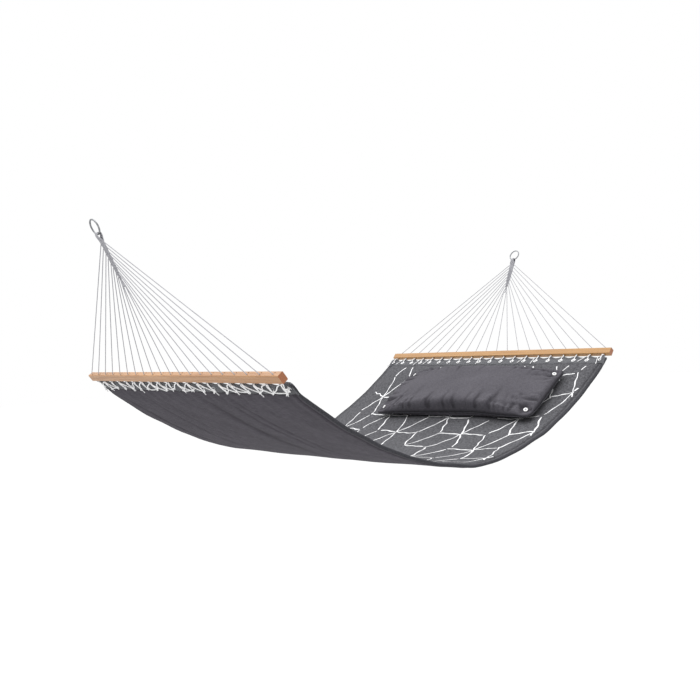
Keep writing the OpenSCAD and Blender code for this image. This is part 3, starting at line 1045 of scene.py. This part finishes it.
def ring_loop(rank, side):
    """Half of a rope's loop over the ring's wire, from its top to the mat, for the line's own leg."""
    column = column_y(rank, side) / WARP_GAP
    phi = math.radians(2.9 * column)
    layer = int(round(column + RANKS / 2)) % 2
    face = 1 if rank % 2 == 0 else -1
    rise = WIRE_R + WARP_R + 0.0012 + layer * 2.1 * WARP_R
    reach = 0.0087 + layer * 1.6 * WARP_R
    spots = [(-rise, 0.0), (-rise, 0.45 * reach), (-0.75 * rise, 0.84 * reach), (0.0, 1.0 * reach),
             (0.0075, 0.93 * reach)]
    points = []
    for out, n in spots:
        s = (RING_R + out) * math.cos(phi)
        y = (RING_R + out) * math.sin(phi)
        points.append((s, y, face * n))
    target = column_y(rank, side)
    points.append((RING_R + 0.017, 0.35 * points[-1][1] + 0.65 * target, face * 0.0042))
    points.append((RING_R + 0.025, target, face * 0.0017))
    return points


def clew_leg(rank, side):
    """The whole way of one line from the ring to where it leaves the clew."""
    points = ring_loop(rank, side)
    face = 1 if rank % 2 == 0 else -1
    y = column_y(rank, side)
    out_s, out_y = exit_place(rank, side)
    turn_s = out_s - 0.0085
    s = RING_R + 0.030
    while s < turn_s - 0.003:
        points.append((s, y * spread(s), face * (0.00125 + 0.00025 * math.cos(TAU * s / 0.0183))))
        s += 0.0055
    y = y * spread(turn_s)
    cross = np.linspace(y, out_y, max(9, int(abs(out_y - y) / 0.0008)))
    phase = 0.5 + rank + (0.5 if side > 0 else -0.5)
    for k, at in enumerate(cross):
        t = k / (len(cross) - 1)
        swing = math.cos(math.pi * (at / WARP_GAP + phase))
        weave = 0.0029 * swing * math.sin(math.pi * min(1, 0.08 + t * 0.92))
        points.append((turn_s + 0.0006 + t * 0.0079 + 0.0008 * side, at, weave))
    return points


def make_clew(end):
    """Rope loops over the ring and the mat that the lines are plaited into, two layers thick."""
    shape = Shape()
    for rank in range(RANKS):
        for side in (-1, 1):
            spots = np.array(clew_leg(rank, side))
            out_s, out_y = exit_place(rank, side)
            bend = rope_bend(rank if side < 0 else LINES - 1 - rank)
            toward = bend - in_pull(out_s, out_y, 0.0)
            toward /= np.linalg.norm(toward)
            line = in_pull(spots[:, 0], spots[:, 1], spots[:, 2])
            last = in_pull(out_s, out_y, 0.0) + toward * 0.006
            tube(shape, curve_through(np.vstack([line[:-1], last]), 0.0011), WARP_R, sides=8, lay=WARP_LAY)
    name = END_NAMES[end]
    piece = shape.build(name + "_woven_clew", ROPE, head=bool(end))
    tie(piece, "hammock", name + "_clew")


def hole_mouth(line, row, side):
    return BAR + line_y(line) * ACROSS + row * ROW_GAP / 2 * BAR_NORMAL + side * BAR_W / 2 * BAR_DIR


def rope_bend(line):
    return hole_mouth(line, OUTER, -1) - BEND_LIFT * BAR_DIR


def knot_place(line):
    return hole_mouth(line, OUTER, 1) + KNOT_DROP * BAR_DIR


def overhand_knot(shape, centre, axis, size, radius, turn):
    """A pulled-tight overhand knot: a trefoil with its long axis across the rope."""
    axis = axis / np.linalg.norm(axis)
    u = np.array(Vector(axis).orthogonal().normalized())
    v = np.cross(axis, u)
    t = np.linspace(0, TAU, 46)
    x = (np.sin(t + turn) + 2 * np.sin(2 * t + turn)) / 3
    y = (np.cos(t + turn) - 2 * np.cos(2 * t + turn)) / 3
    z = -np.sin(3 * t)
    line = (centre[None] + size * x[:, None] * u + size * y[:, None] * v
            + 0.75 * size * z[:, None] * axis)
    tube(shape, line, radius, sides=7, lay=WARP_LAY)


def make_rope(end, pair):
    """The two legs of one rope: out of the clew, down to the bar, through it and into their knots."""
    shape = Shape()
    for line in (2 * pair - 2, 2 * pair - 1):
        rank = min(line, LINES - 1 - line)
        side = -1 if line < RANKS else 1
        out_s, out_y = exit_place(rank, side)
        start = in_pull(out_s, out_y, 0.0)
        bend = rope_bend(line)
        toward = (bend - start) / np.linalg.norm(bend - start)
        corner = 0.0035
        through = [start + toward * 0.004, bend - toward * 0.02, bend - toward * corner,
                   bend + BAR_DIR * corner, bend + BAR_DIR * 0.012, knot_place(line) - BAR_DIR * 0.006,
                   knot_place(line)]
        straight = evenly(np.array([start, through[1]]), 0.0013)
        bent = curve_through(through[1:], 0.0013)
        tube(shape, np.vstack([straight[:-1], bent]), ROPE_R)
        overhand_knot(shape, knot_place(line) + 0.0004 * BAR_DIR, BAR_DIR, KNOT_SIZE, KNOT_ROPE_R, line * 1.7)
    name = END_NAMES[end]
    piece = shape.build(f"{name}_twisted_rope_{pair:02d}", ROPE, head=bool(end))
    tie(piece, "hammock", f"{name}_rope_{pair:02d}")


# ---------------------------------------------------------------- lacing

def hem_point(y, inset, lift):
    """A place near the hem's edge, in the foot end's frame: lift is positive on the bed's upper side."""
    point, normal = middle_surface(-(HALF_LEN - inset), y)
    return point + normal * lift


LACE_R = 0.0021
LACE_STEP = 0.0022
LACE_TWIST = {"sides": 7, "lay": 0.010, "lobes": 0.14}
KNOT_SHIFT = 0.016
LOOP_R = 0.0072
LOOP_INSET = EYELET_INSET + 0.004
LACE_KNOT_INSET = EYELET_INSET + 0.012
BELOW = -(HEM_HALF_T + 0.0036)
ABOVE = HEM_HALF_T + 0.0030


def strand(shape, points):
    tube(shape, curve_through(points, LACE_STEP), LACE_R, **LACE_TWIST)


def lace_knots(end):
    """Where the lacing is knotted under the hem: near each eyelet, a little out of line."""
    rng = random.Random(SEED + 40 + end)
    knots = []
    for line in range(LINES):
        y = line_y(line) + KNOT_SHIFT + rng.uniform(-0.010, 0.010)
        knots.append((y, LACE_KNOT_INSET + rng.uniform(-0.006, 0.008)))
    return knots


def eyelet_loop(shape, line, up):
    """Rope wound once round the eyelet's rim on the upper face."""
    along = np.cross(ACROSS, up)
    centre = hem_point(line_y(line), LOOP_INSET, ABOVE + 0.0008)
    turn = np.linspace(0, TAU, 26)
    ring = centre + LOOP_R * (np.cos(turn)[:, None] * ACROSS + np.sin(turn)[:, None] * along)
    tube(shape, ring, LACE_R, **LACE_TWIST)


def make_lacing(end):
    """Rope ends laced from the bar's knots to the hem's eyelets and back, crossing over each other below."""
    rng = random.Random(SEED + end)
    shape = Shape()
    knots = lace_knots(end)
    _, up = middle_surface(-HALF_LEN, 0.0)
    for line in range(LINES):
        y = line_y(line)
        at_y, at_inset = knots[line]
        bar_knot = knot_place(line)
        eye_low = hem_point(y, EYELET_INSET, BELOW)
        eye_high = hem_point(y, EYELET_INSET, ABOVE)
        knot = hem_point(at_y, at_inset, BELOW)
        for lean in (-1, 1):
            lip = hem_point(y + lean * rng.uniform(0.0015, 0.007), -0.001, BELOW - 0.0006)
            half_way = hem_point(0.5 * (y + at_y) + lean * 0.0018, 0.5 * at_inset, BELOW - 0.0008)
            strand(shape, [bar_knot + 0.003 * BAR_DIR + lean * 0.0012 * ACROSS, lip, half_way, knot])
        strand(shape, [knot, hem_point(y, EYELET_INSET + 0.004, BELOW - 0.0004), eye_low,
                       hem_point(y, EYELET_INSET - 0.001, 0.0), eye_high])
        mouth = hole_mouth(line, INNER, 1)
        lip_high = hem_point(y + rng.uniform(-0.004, 0.004), 0.002, ABOVE + 0.0024)
        strand(shape, [eye_high, hem_point(y, 0.5 * EYELET_INSET, ABOVE + 0.0012), lip_high,
                       mouth + 0.004 * BAR_DIR, mouth - 0.006 * BAR_DIR])
        eyelet_loop(shape, line, up)
        overhand_knot(shape, knot - up * 0.0006, up, 0.0040, LACE_R, rng.uniform(0, TAU))
    for line in range(LINES - 1):
        near, far = line, line + 1
        lift = BELOW - 0.0012
        for start, stop, chance in ((near, far, 0.62), (far, near, 0.45)):
            if rng.random() > chance:
                continue
            y0, (y1, inset1) = line_y(start), knots[stop]
            lip = hem_point(y0 + rng.uniform(0.18, 0.36) * (y1 - y0), -0.001, lift - 0.001)
            half_way = hem_point(y0 + rng.uniform(0.55, 0.7) * (y1 - y0), 0.55 * inset1, lift - 0.0014)
            strand(shape, [knot_place(start) + 0.002 * BAR_DIR, lip, half_way, hem_point(y1, inset1, lift)])
            lift -= 0.0032
        if rng.random() < 0.42:
            (y0, inset0), (y1, inset1) = knots[near], knots[far]
            mid = hem_point((y0 + y1) / 2, (inset0 + inset1) / 2 + rng.uniform(-0.006, 0.003), lift)
            strand(shape, [hem_point(y0, inset0, BELOW), mid, hem_point(y1, inset1, BELOW)])
    name = END_NAMES[end]
    piece = shape.build(name + "_laced_ropes", LACING, head=bool(end))
    tie(piece, "hammock", name + "_lacing")


def rope_tail(shape, root, lean, length, lift, rng):
    """A loose rope end lying on the hem, frayed a little at its tip."""
    inset, y = root
    points = []
    for t in (0.0, 0.35, 0.7, 1.0):
        side = y + lean * length * t + rng.uniform(-0.0015, 0.0015)
        down = inset + length * t * math.sqrt(max(0.05, 1 - lean * lean))
        points.append(hem_point(side, down, lift * (1 + 0.25 * t)))
    line = curve_through(points, LACE_STEP)
    swell = np.ones(len(line))
    swell[-3:] = (1.15, 1.3, 1.2)
    tube(shape, line, 0.0015, sides=7, lay=0.010, taper=swell)


def make_tails(end):
    """Short cut ends below the knots, and longer ones lying over the upper face."""
    rng = random.Random(SEED + 20 + end)
    shape = Shape()
    knots = lace_knots(end)
    for line in range(LINES):
        y, inset = knots[line]
        if rng.random() < 0.72:
            rope_tail(shape, (inset, y), rng.uniform(-0.1, 0.95), rng.uniform(0.012, 0.022),
                      BELOW - 0.0006, rng)
        if rng.random() < 0.40:
            rope_tail(shape, (inset - 0.003, y), rng.uniform(-0.5, 0.95), rng.uniform(0.014, 0.024),
                      BELOW - 0.0030, rng)
        if rng.random() < 0.5:
            rope_tail(shape, (0.004, line_y(line) + rng.uniform(0.008, 0.022)), rng.uniform(-0.6, 0.6),
                      rng.uniform(0.044, 0.060), ABOVE + 0.0012, rng)
    name = END_NAMES[end]
    piece = shape.build(name + "_rope_tails", LACING, head=bool(end))
    tie(piece, "hammock", name + "_tails")


# ---------------------------------------------------------------- pillow

PILLOW_CELL = 0.007
PILLOW_CUT = (0.385, 0.950)
HALF_CUT = (PILLOW_CUT[0] / 2, PILLOW_CUT[1] / 2)
PILLOW_BASE = 0.0015
PRESSURE, BENDING, DAMPING, FRAMES = 9.0, 0.08, 12, 34
HELD_WITHIN = 0.010
RIM_SHARE = 0.36
FULLNESS = 0.72
SHEAR_LOW, SHEAR_HIGH = -0.020, 0.006
UPPER_TAB_LIFT, TAB_T = 0.015, 0.003
CAP_LIFT = 0.0022
CORNERS = [(side_x, side_y) for side_x in (-1, 1) for side_y in (-1, 1)]


def pillow_outline(x, y):
    """The flat cut: a rectangle with its corners rounded off."""
    half_x, half_y = HALF_CUT
    corner = 0.030
    over_x = np.maximum(np.abs(x) - (half_x - corner), 0)
    over_y = np.maximum(np.abs(y) - (half_y - corner), 0)
    reach = np.hypot(over_x, over_y)
    scale = np.where(reach > 1e-9, np.minimum(1, np.maximum(over_x, over_y) / np.maximum(reach, 1e-9)), 1)
    new_x = np.sign(x) * (np.minimum(np.abs(x), half_x - corner) + over_x * scale)
    new_y = np.sign(y) * (np.minimum(np.abs(y), half_y - corner) + over_y * scale)
    return new_x, new_y


def flat_pillow():
    """Two layers of cloth sewn round their rim: points, faces, flat coordinates and rim order."""
    nx = int(PILLOW_CUT[0] / PILLOW_CELL)
    ny = int(PILLOW_CUT[1] / PILLOW_CELL)
    x = np.linspace(-HALF_CUT[0], HALF_CUT[0], nx + 1)
    y = np.linspace(-HALF_CUT[1], HALF_CUT[1], ny + 1)
    x, y = np.meshgrid(x, y, indexing="ij")
    x, y = pillow_outline(x, y)
    rows, columns = nx + 1, ny + 1
    count = rows * columns
    index = np.arange(count).reshape(rows, columns)
    rim = list(index[0, :]) + list(index[1:, -1]) + list(index[-1, -2::-1]) + list(index[-2:0:-1, 0])
    on_rim = np.zeros(count, bool)
    on_rim[rim] = True
    lower = np.full(count, -1)
    lower[on_rim] = np.arange(count)[on_rim]
    lower[~on_rim] = count + np.arange((~on_rim).sum())
    flat = np.stack([x.ravel(), y.ravel()], axis=1)
    lift = np.where(on_rim, 0.0, 0.004)
    top = np.column_stack([flat, lift])
    under = np.column_stack([flat[~on_rim], -lift[~on_rim]])
    points = np.vstack([top, under])
    faces = grid_faces(rows, columns)
    upper_faces = [face[::-1] for face in faces]
    lower_faces = [tuple(int(lower[i]) for i in face) for face in faces]
    uv = np.vstack([flat, flat[~on_rim] + [1.0, 0.0]])
    return points, upper_faces + lower_faces, uv, rim, count


def inflate(points, faces, pinned):
    """Blows the sewn cover up by cloth simulation, held at its four press studs, and returns its points."""
    mesh = bpy.data.meshes.new("pillow_trial")
    mesh.from_pydata(points.tolist(), [], faces)
    mesh.update()
    trial = bpy.data.objects.new("pillow_trial", mesh)
    bpy.context.scene.collection.objects.link(trial)
    group = trial.vertex_groups.new(name="held")
    group.add([int(i) for i in pinned], 1.0, "ADD")
    modifier = trial.modifiers.new("cloth", "CLOTH")
    cloth = modifier.settings
    cloth.quality = 8
    cloth.mass = 0.25
    cloth.tension_stiffness = 22
    cloth.compression_stiffness = 18
    cloth.shear_stiffness = 8
    cloth.bending_stiffness = BENDING
    cloth.tension_damping = cloth.compression_damping = cloth.shear_damping = DAMPING
    cloth.use_pressure = True
    cloth.uniform_pressure_force = PRESSURE
    cloth.vertex_group_mass = "held"
    cloth.effector_weights.gravity = 0
    modifier.collision_settings.use_collision = False
    scene = bpy.context.scene
    first, last = 1, FRAMES
    modifier.point_cache.frame_start, modifier.point_cache.frame_end = first, last
    for number in range(first, last + 1):
        scene.frame_set(number)
    solved = trial.evaluated_get(bpy.context.evaluated_depsgraph_get()).to_mesh()
    out = np.zeros(len(solved.vertices) * 3)
    solved.vertices.foreach_get("co", out)
    scene.frame_set(first)
    bpy.data.objects.remove(trial)
    bpy.data.meshes.remove(mesh)
    return out.reshape(-1, 3)


def settle(local):
    """Fills the blown-up pillow's sides out, flattens it below and scales its crown to its real height."""
    out = local.copy()
    crown = np.percentile(out[:, 2], 99.5)
    up = (PILLOW_T - 0.004) / (1 + RIM_SHARE)
    share = np.abs(out[:, 2] / crown)
    full = up * np.where(share < 1, share ** FULLNESS, share)
    out[:, 2] = np.where(out[:, 2] > 0, full, -full * RIM_SHARE)
    return out


def rim_folds(flat):
    """Seeded folds that run in from the pillow's rim, as a height over the flat cloth."""
    rng = random.Random(SEED + 9)
    half_x, half_y = HALF_CUT
    height = np.zeros(len(flat))
    sides = ((0, -1, half_x, half_y, 30, 0.100), (0, 1, half_x, half_y, 24, 0.060),
             (1, -1, half_y, half_x, 12, 0.090), (1, 1, half_y, half_x, 12, 0.090))
    for axis, sign, depth_half, run_half, count, reach in sides:
        inward = depth_half - sign * flat[:, axis]
        run = flat[:, 1 - axis]
        for _ in range(count):
            place = rng.uniform(-0.92, 0.92) * run_half
            lean = rng.uniform(-0.35, 0.35) - 0.25 * place / run_half
            width = rng.uniform(0.0075, 0.013)
            long = reach * rng.uniform(0.5, 1.25)
            size = rng.uniform(0.0050, 0.0115)
            off = (run - place - lean * inward) / width
            fold = off * np.exp(-off ** 2 * 0.7)
            height += size * fold * smooth_step(inward, 0.002, 0.022) * hump(inward, long)
    return height


def snap_tabs(local, flat, upper):
    """Tilts the cloth round each press stud and draws it down into a dimple."""
    out = local.copy()
    for side_x, side_y in CORNERS:
        off_x, off_y = flat[:, 0] - side_x * SNAP_X, flat[:, 1] - side_y * SNAP_Y
        reach = np.hypot(off_x, off_y)
        near = int(np.argmin(reach))
        lean_x, lean_y = snap_lean(side_x, side_y)
        raised = UPPER_TAB_LIFT if side_x > 0 else 0.002
        tab = local[near, 2] + raised - off_x * lean_x - off_y * lean_y - np.where(upper, 0, TAB_T)
        share = 1 - smooth_step(reach, 0.012, 0.027)
        out[:, 2] = out[:, 2] * (1 - share) + tab * share
        out[:, 2] -= 0.006 * hump(reach - 0.028, 0.010) * np.sign(np.maximum(out[:, 2], 0))
    return out


def snap_lean(side_x, side_y):
    """How far a press stud's face leans outward, along the bed and across it."""
    return (-0.45 if side_x < 0 else -0.12), 0.42 * side_y


def on_pillow(local):
    """Moves points of the pillow's own frame (along the bed, across it, height) to its place on the bed."""
    centre = np.interp(PILLOW_PLACE, U_TABLE, ARC_TABLE)
    share = smooth_step(local[:, 0], -PILLOW_W / 2, PILLOW_W / 2)
    arc = centre + local[:, 0]
    y = PILLOW_Y + local[:, 1] + SHEAR_LOW + (SHEAR_HIGH - SHEAR_LOW) * share
    point = bed_surface(arc, y, 1)
    _, straight = middle_surface(np.array([centre]), np.array([PILLOW_Y]))
    _, own = middle_surface(arc, y)
    normal = 0.5 * own + 0.5 * straight
    normal /= np.linalg.norm(normal, axis=1, keepdims=True)
    return point + normal * (PILLOW_BASE + local[:, 2])[:, None]


def make_pillow():
    points, faces, uv, rim, count = flat_pillow()
    flat = np.where((uv[:, :1] > 0.5), uv - [1.0, 0.0], uv)
    reach = np.hypot(np.abs(flat[:, 0]) - SNAP_X, np.abs(flat[:, 1]) - SNAP_Y)
    pinned = np.nonzero(reach < HELD_WITHIN)[0]
    local = inflate(points, faces, pinned)
    local = settle(local)
    upper = local[:, 2] > 0.001
    folds = rim_folds(flat) * upper
    local[:, 2] += folds
    local = snap_tabs(local, flat, upper)
    low = local[:, 2].min()
    local[:, 2] -= low
    # Painted shade in the fold valleys, and along the sewn rim where the two layers pinch in.
    fold_and_rim_shade = np.clip(-folds / 0.006, 0, 0.55)
    fold_and_rim_shade[rim] = 0.9
    shape = Shape()
    shape.add(on_pillow(local), faces, fold_and_rim_shade)
    cover = shape.build("pillow_cushion_cover", PILLOW)
    set_uv(cover, uv)
    smooth = cover.modifiers.new("smooth", "SUBSURF")
    smooth.levels = smooth.render_levels = 1
    tie(cover, "pillow", "pillow_cover")
    make_pillow_seam(local, rim)
    make_pillow_filling(local, faces, low)
    make_snaps(local, flat, count)
    return cover


def make_pillow_seam(local, rim):
    """The sewn rim, a narrow raised seam all round."""
    line = local[rim]
    centre = line.mean(axis=0)
    out = line - centre
    out[:, 2] = 0
    out /= np.linalg.norm(out, axis=1, keepdims=True)
    world = on_pillow(line + out * 0.0008)
    closed = np.vstack([world, world[:1]])
    shape = Shape()
    tube(shape, curve_through(closed, 0.004), 0.0019, sides=8, lay=0.006, lobes=0.08)
    piece = shape.build("pillow_rim_seam", BINDING)
    tie(piece, "pillow")


def make_pillow_filling(local, faces, low):
    """The stuffing, drawn in from the cover all round and further at the flat corners."""
    inner = local.copy()
    middle_z = -low
    corner = (smooth_step(np.abs(inner[:, 0]), 0.5 * SNAP_X, SNAP_X + 0.01)
              * smooth_step(np.abs(inner[:, 1]), SNAP_Y - 0.07, SNAP_Y))
    inner[:, 0] *= 0.88 - 0.20 * corner
    inner[:, 1] *= 0.955 - 0.03 * corner
    height = inner[:, 2] - middle_z
    drawn = np.maximum(np.abs(height) * (0.78 - 0.5 * corner) - 0.003, 0.0004)
    inner[:, 2] = middle_z + np.sign(height) * drawn
    shape = Shape()
    shape.add(on_pillow(inner), faces)
    piece = shape.build("pillow_stuffing", WADDING)
    tie(piece, "pillow", "pillow_filling")


def turned(shape, centre, axis, profile, sides=28):
    """A lathed part: profile is a list of (radius, height) from the axis below to the axis above."""
    axis = axis / np.linalg.norm(axis)
    u = np.array(Vector(axis).orthogonal().normalized())
    v = np.cross(axis, u)
    theta = circle(sides)
    outward = np.cos(theta)[:, None] * u + np.sin(theta)[:, None] * v
    rows = [centre + r * outward + h * axis for r, h in profile]
    shape.add(np.vstack(rows), tube_faces(len(rows), sides))


def make_snaps(local, flat, count):
    """White press-stud caps with a grey centre, riveted through the pillow's corners."""
    rims, centres = Shape(), Shape()
    for side_x, side_y in CORNERS:
        near = np.hypot(flat[:count, 0] - side_x * SNAP_X, flat[:count, 1] - side_y * SNAP_Y)
        at = local[np.argmin(near)]
        spot = on_pillow(at[None] + [0, 0, CAP_LIFT])[0]
        lean_x, lean_y = snap_lean(side_x, side_y)
        above = on_pillow((at + [lean_x * 0.01, lean_y * 0.01, 0.01 + CAP_LIFT])[None])[0]
        axis = (above - spot) / np.linalg.norm(above - spot)
        turned(rims, spot, axis, [
            (0.0060, -0.0014), (0.0086, -0.0004), (0.0096, 0.0007), (0.0095, 0.0018), (0.0086, 0.0027),
            (0.0072, 0.0031), (0.0058, 0.0029), (0.0048, 0.0020), (0.0044, 0.0010)])
        turned(centres, spot, axis, [
            (0.0044, 0.0006), (0.0046, 0.0016), (0.0040, 0.0022), (0.0026, 0.0024), (0.0012, 0.0020)])
    tie(rims.build("snap_cap_rims", CAP_WHITE), "pillow", "snap_caps")
    tie(centres.build("snap_cap_centres", CAP_GREY), "pillow")


# ---------------------------------------------------------------- CAD nodes that stay

def dress_cad_nodes():
    looks = {"foot_bar": NEAR_WOOD, "head_bar": FAR_WOOD, "foot_eyelets": EYELET, "head_eyelets": EYELET,
             "snap_studs": STEEL}
    for name, material in looks.items():
        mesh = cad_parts[name].data
        mesh.materials.clear()
        mesh.materials.append(material)


# ---------------------------------------------------------------- assembly

make_camera()
make_studio()
cover = make_cover()
back = make_back()
wadding = make_wadding()
printing = make_print()
hems = [make_hem(end) for end in (0, 1)]
for side in (-1, 1):
    make_binding(side)
make_bed_stitching()
for end in (0, 1):
    make_hem_stitching(end)
    make_ring(end)
    make_clew(end)
    make_lacing(end)
    make_tails(end)
    for pair in range(1, RANKS + 1):
        make_rope(end, pair)
make_pillow()
dress_cad_nodes()
